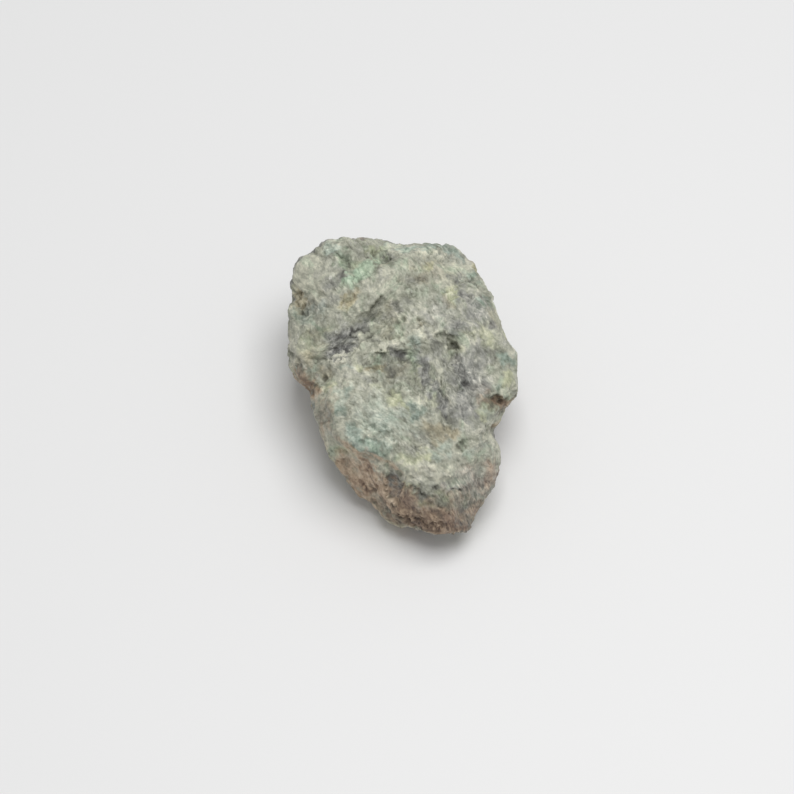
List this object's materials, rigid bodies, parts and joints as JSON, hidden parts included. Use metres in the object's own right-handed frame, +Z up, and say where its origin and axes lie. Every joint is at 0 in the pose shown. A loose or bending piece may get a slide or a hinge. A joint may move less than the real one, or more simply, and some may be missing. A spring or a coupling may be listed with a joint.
{
  "type": "rough emerald",
  "caption": "Hand-sized lump of rough emerald in mica schist, with a raised lobe, diagonal ledges, a rounded nose and a flat resting spot.",
  "frame": {"origin": "on the resting plane, under the middle of the stone's length and width", "axes": "+Z up as the stone rests on its flat spot, +Y along its length from the rounded nose towards the broad end, +X across its width"},
  "size_m": [0.0336, 0.0472, 0.0232],
  "materials": {
    "rock": "rough granular stone, slightly glossy on mica flakes"
  },
  "bodies": {
    "root": {"emerald_stone": "rock"}
  },
  "joints": []
}
